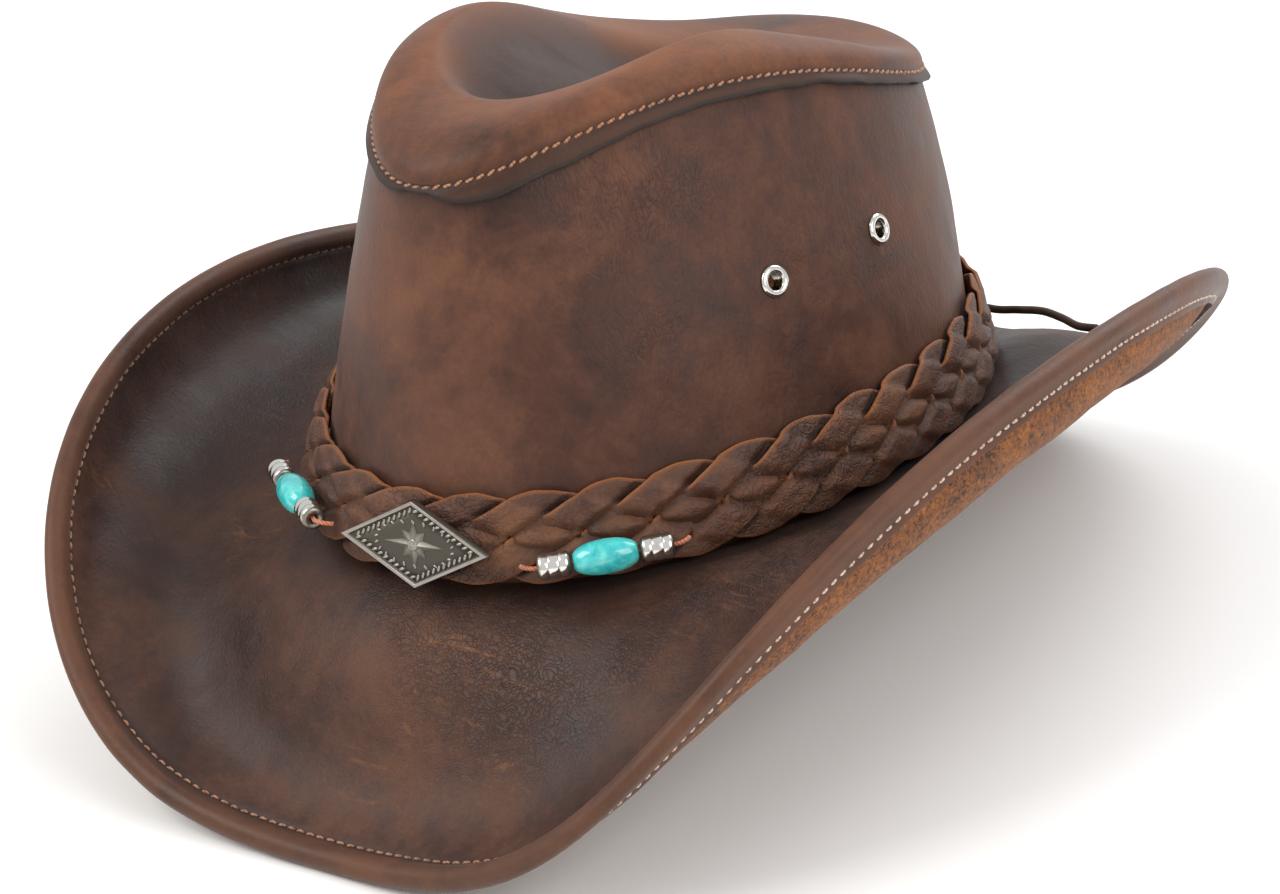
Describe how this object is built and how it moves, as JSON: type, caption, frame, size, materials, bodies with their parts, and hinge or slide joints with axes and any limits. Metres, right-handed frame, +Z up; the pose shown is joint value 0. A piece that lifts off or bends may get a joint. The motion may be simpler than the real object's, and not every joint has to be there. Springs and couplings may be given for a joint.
{
  "type": "cowboy hat",
  "caption": "Leather cowboy hat with a creased crown, a rolled wired brim and a braided leather band with a metal plate and stone beads.",
  "frame": {"origin": "centre of the overall box, on the level surface that the front and back of the brim rest on", "axes": "+Z up through the crown, -Y towards the front of the hat, +X towards the wearer's left"},
  "size_m": [0.2892, 0.3302, 0.1867],
  "materials": {
    "crown_leather": "waxed, worn pull-up leather",
    "tip_leather": "waxed pull-up leather, warmer brown",
    "brim_leather": "waxed grain side up, suede side down",
    "sweatband_leather": "thin smooth lining leather",
    "braid_leather": "creased strands with raw tan edges",
    "lace_leather": "dark cut lace",
    "stitch_thread": "waxed tan thread",
    "spring_wire": "drawn steel wire",
    "eyelet_metal": "bright nickel",
    "aged_silver": "cast and blackened silver colour",
    "bead_silver": "ribbed silver colour",
    "turquoise": "polished opaque turquoise stone with dark veins",
    "copper_thread": "twisted copper-coloured thread"
  },
  "bodies": {
    "hat_shell": {"crown_wall": "crown_leather", "crown_tip": "tip_leather", "brim": "brim_leather", "brim_wire": "spring_wire", "sweatband": "sweatband_leather", "brim_hem_thread": "stitch_thread", "tip_seam_thread": "stitch_thread", "sweatband_thread": "stitch_thread", "eyelet_left_front": "eyelet_metal", "eyelet_left_front_washer": "eyelet_metal", "eyelet_left_rear": "eyelet_metal", "eyelet_left_rear_washer": "eyelet_metal", "eyelet_right_front": "eyelet_metal", "eyelet_right_front_washer": "eyelet_metal", "eyelet_right_rear": "eyelet_metal", "eyelet_right_rear_washer": "eyelet_metal"},
    "hatband": {"hatband_strand_1": "braid_leather", "hatband_strand_2": "braid_leather", "hatband_strand_3": "braid_leather", "hatband_strand_4": "braid_leather", "concho": "aged_silver", "bead_thread_left": "copper_thread", "bead_thread_right": "copper_thread", "lace_knot": "lace_leather", "tie_lace": "lace_leather"},
    "stone_bead_left_body": {"stone_bead_left": "turquoise"},
    "metal_bead_left_front_body": {"metal_bead_left_front": "bead_silver"},
    "metal_bead_left_rear_body": {"metal_bead_left_rear": "bead_silver"},
    "stone_bead_right_body": {"stone_bead_right": "turquoise"},
    "metal_bead_right_front_body": {"metal_bead_right_front": "bead_silver"},
    "metal_bead_right_rear_body": {"metal_bead_right_rear": "bead_silver"}
  },
  "joints": [
    {"name": "hatband_lift", "type": "slide", "parent": "hat_shell", "child": "hatband", "axis": [0, 0.0523, 0.9986], "range_m": [0, 0.125]},
    {"name": "stone_bead_left_spin", "type": "hinge", "parent": "hatband", "child": "stone_bead_left_body", "pos_m": [0.05611, -0.09651, 0.0732], "axis": [0.7574, 0.6517, 0.0411], "continuous": true},
    {"name": "metal_bead_left_front_spin", "type": "hinge", "parent": "hatband", "child": "metal_bead_left_front_body", "pos_m": [0.04574, -0.10544, 0.07264], "axis": [0.7574, 0.6517, 0.0411], "continuous": true},
    {"name": "metal_bead_left_rear_spin", "type": "hinge", "parent": "hatband", "child": "metal_bead_left_rear_body", "pos_m": [0.06649, -0.08758, 0.07376], "axis": [0.7574, 0.6517, 0.0411], "continuous": true},
    {"name": "stone_bead_right_spin", "type": "hinge", "parent": "hatband", "child": "stone_bead_right_body", "pos_m": [-0.04515, -0.10336, 0.07621], "axis": [-0.8372, 0.5456, 0.0377], "continuous": true},
    {"name": "metal_bead_right_front_spin", "type": "hinge", "parent": "hatband", "child": "metal_bead_right_front_body", "pos_m": [-0.03368, -0.11084, 0.07569], "axis": [-0.8372, 0.5456, 0.0377], "continuous": true},
    {"name": "metal_bead_right_rear_spin", "type": "hinge", "parent": "hatband", "child": "metal_bead_right_rear_body", "pos_m": [-0.05662, -0.09589, 0.07673], "axis": [-0.8372, 0.5456, 0.0377], "continuous": true}
  ]
}
